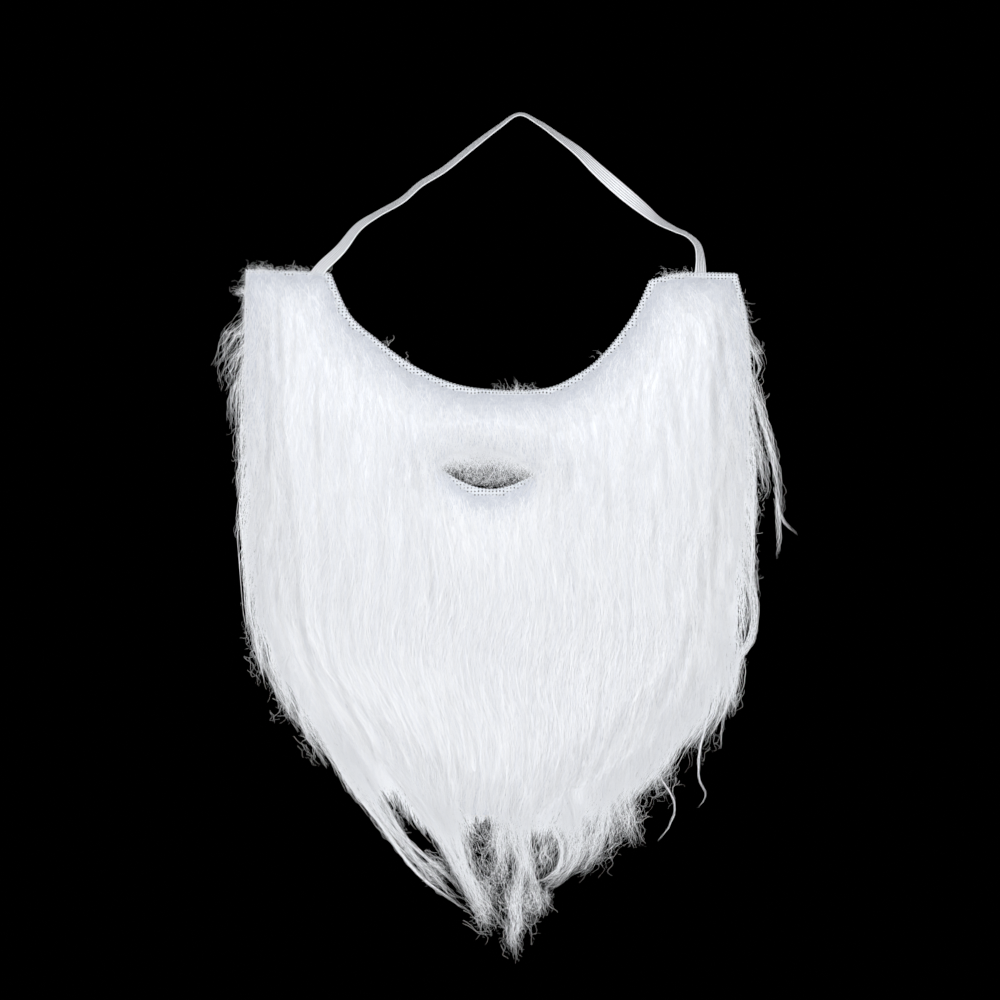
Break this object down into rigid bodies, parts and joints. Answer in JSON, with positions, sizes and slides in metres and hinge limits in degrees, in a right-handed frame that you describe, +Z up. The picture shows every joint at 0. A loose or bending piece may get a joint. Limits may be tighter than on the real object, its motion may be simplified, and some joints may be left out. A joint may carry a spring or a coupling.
{
  "type": "fake beard",
  "caption": "Long white costume beard of combed hair on a knit cloth panel with a mouth opening, worn and hung by a flat elastic strap over the head.",
  "frame": {"origin": "the underside of the elastic strap at its highest point, where the beard hangs", "axes": "+Z up along the beard's length; +X to the right as seen from the front, across the beard; the hair faces -Y and the cloth's bare back faces +Y"},
  "size_m": [0.295, 0.0299, 0.4247],
  "materials": {
    "knit_backing": "matt white warp-knit net cloth",
    "white_hair": "soft white synthetic hair with a faint cool sheen",
    "ribbed_elastic": "white flat braided elastic with lengthwise ribs"
  },
  "bodies": {
    "root": {"backing": "knit_backing", "hair": "white_hair", "elastic_strap": "ribbed_elastic"}
  },
  "joints": []
}
